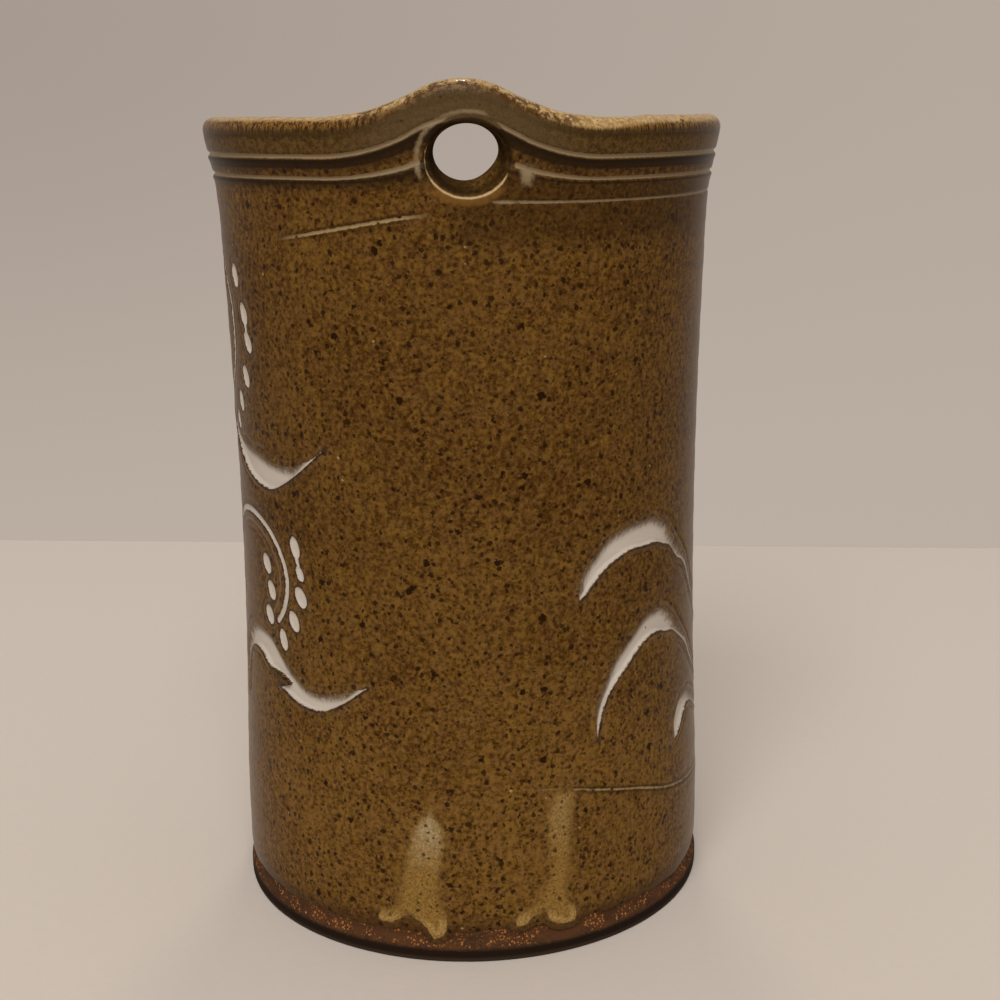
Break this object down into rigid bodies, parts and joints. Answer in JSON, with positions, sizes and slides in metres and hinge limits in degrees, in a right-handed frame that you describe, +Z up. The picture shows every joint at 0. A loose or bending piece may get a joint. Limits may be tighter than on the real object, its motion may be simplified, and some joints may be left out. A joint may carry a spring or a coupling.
{
  "type": "hanging wall vase",
  "caption": "Cylindrical stoneware wall vase with a ringed collar, a raised lug with a hanging hole, a rim scooped at the front, carved white-slip ornament and speckled brown glaze.",
  "frame": {"origin": "centre of the foot on the surface it stands on", "axes": "+Z up along the pot's axis, -Y towards the lug with the hanging hole, +X to the right when facing that side"},
  "size_m": [0.1086, 0.1062, 0.1752],
  "materials": {
    "stoneware_clay": "bare toasted stoneware, rough",
    "brown_glaze": "semi-gloss, iron specks",
    "collar_glaze": "semi-gloss, grey where thick",
    "honey_glaze": "semi-gloss, thin over the edge",
    "liner_glaze": "glossy",
    "run_glaze": "glossy, thick",
    "white_slip": "satin white"
  },
  "bodies": {
    "root": {"clay_floor": "stoneware_clay", "clay_wall": "stoneware_clay", "clay_collar": "stoneware_clay", "hanging_lug": "stoneware_clay", "outer_glaze": "brown_glaze", "collar_glaze": "collar_glaze", "rim_glaze": "honey_glaze", "liner_glaze": "liner_glaze", "glaze_run_left": "run_glaze", "glaze_run_right": "run_glaze", "crescent_right_upper": "white_slip", "crescent_right_middle": "white_slip", "crescent_right_lower": "white_slip", "crescent_left_upper": "white_slip", "crescent_left_lower": "white_slip", "crescent_front_right": "white_slip", "crescent_front_left": "white_slip", "leaf_lower": "white_slip", "leaf_upper": "white_slip", "leaf_front": "white_slip", "leaf_dots_lower_outer": "white_slip", "leaf_dots_lower_inner": "white_slip", "leaf_dots_upper": "white_slip", "leaf_dots_front": "white_slip"}
  },
  "joints": []
}
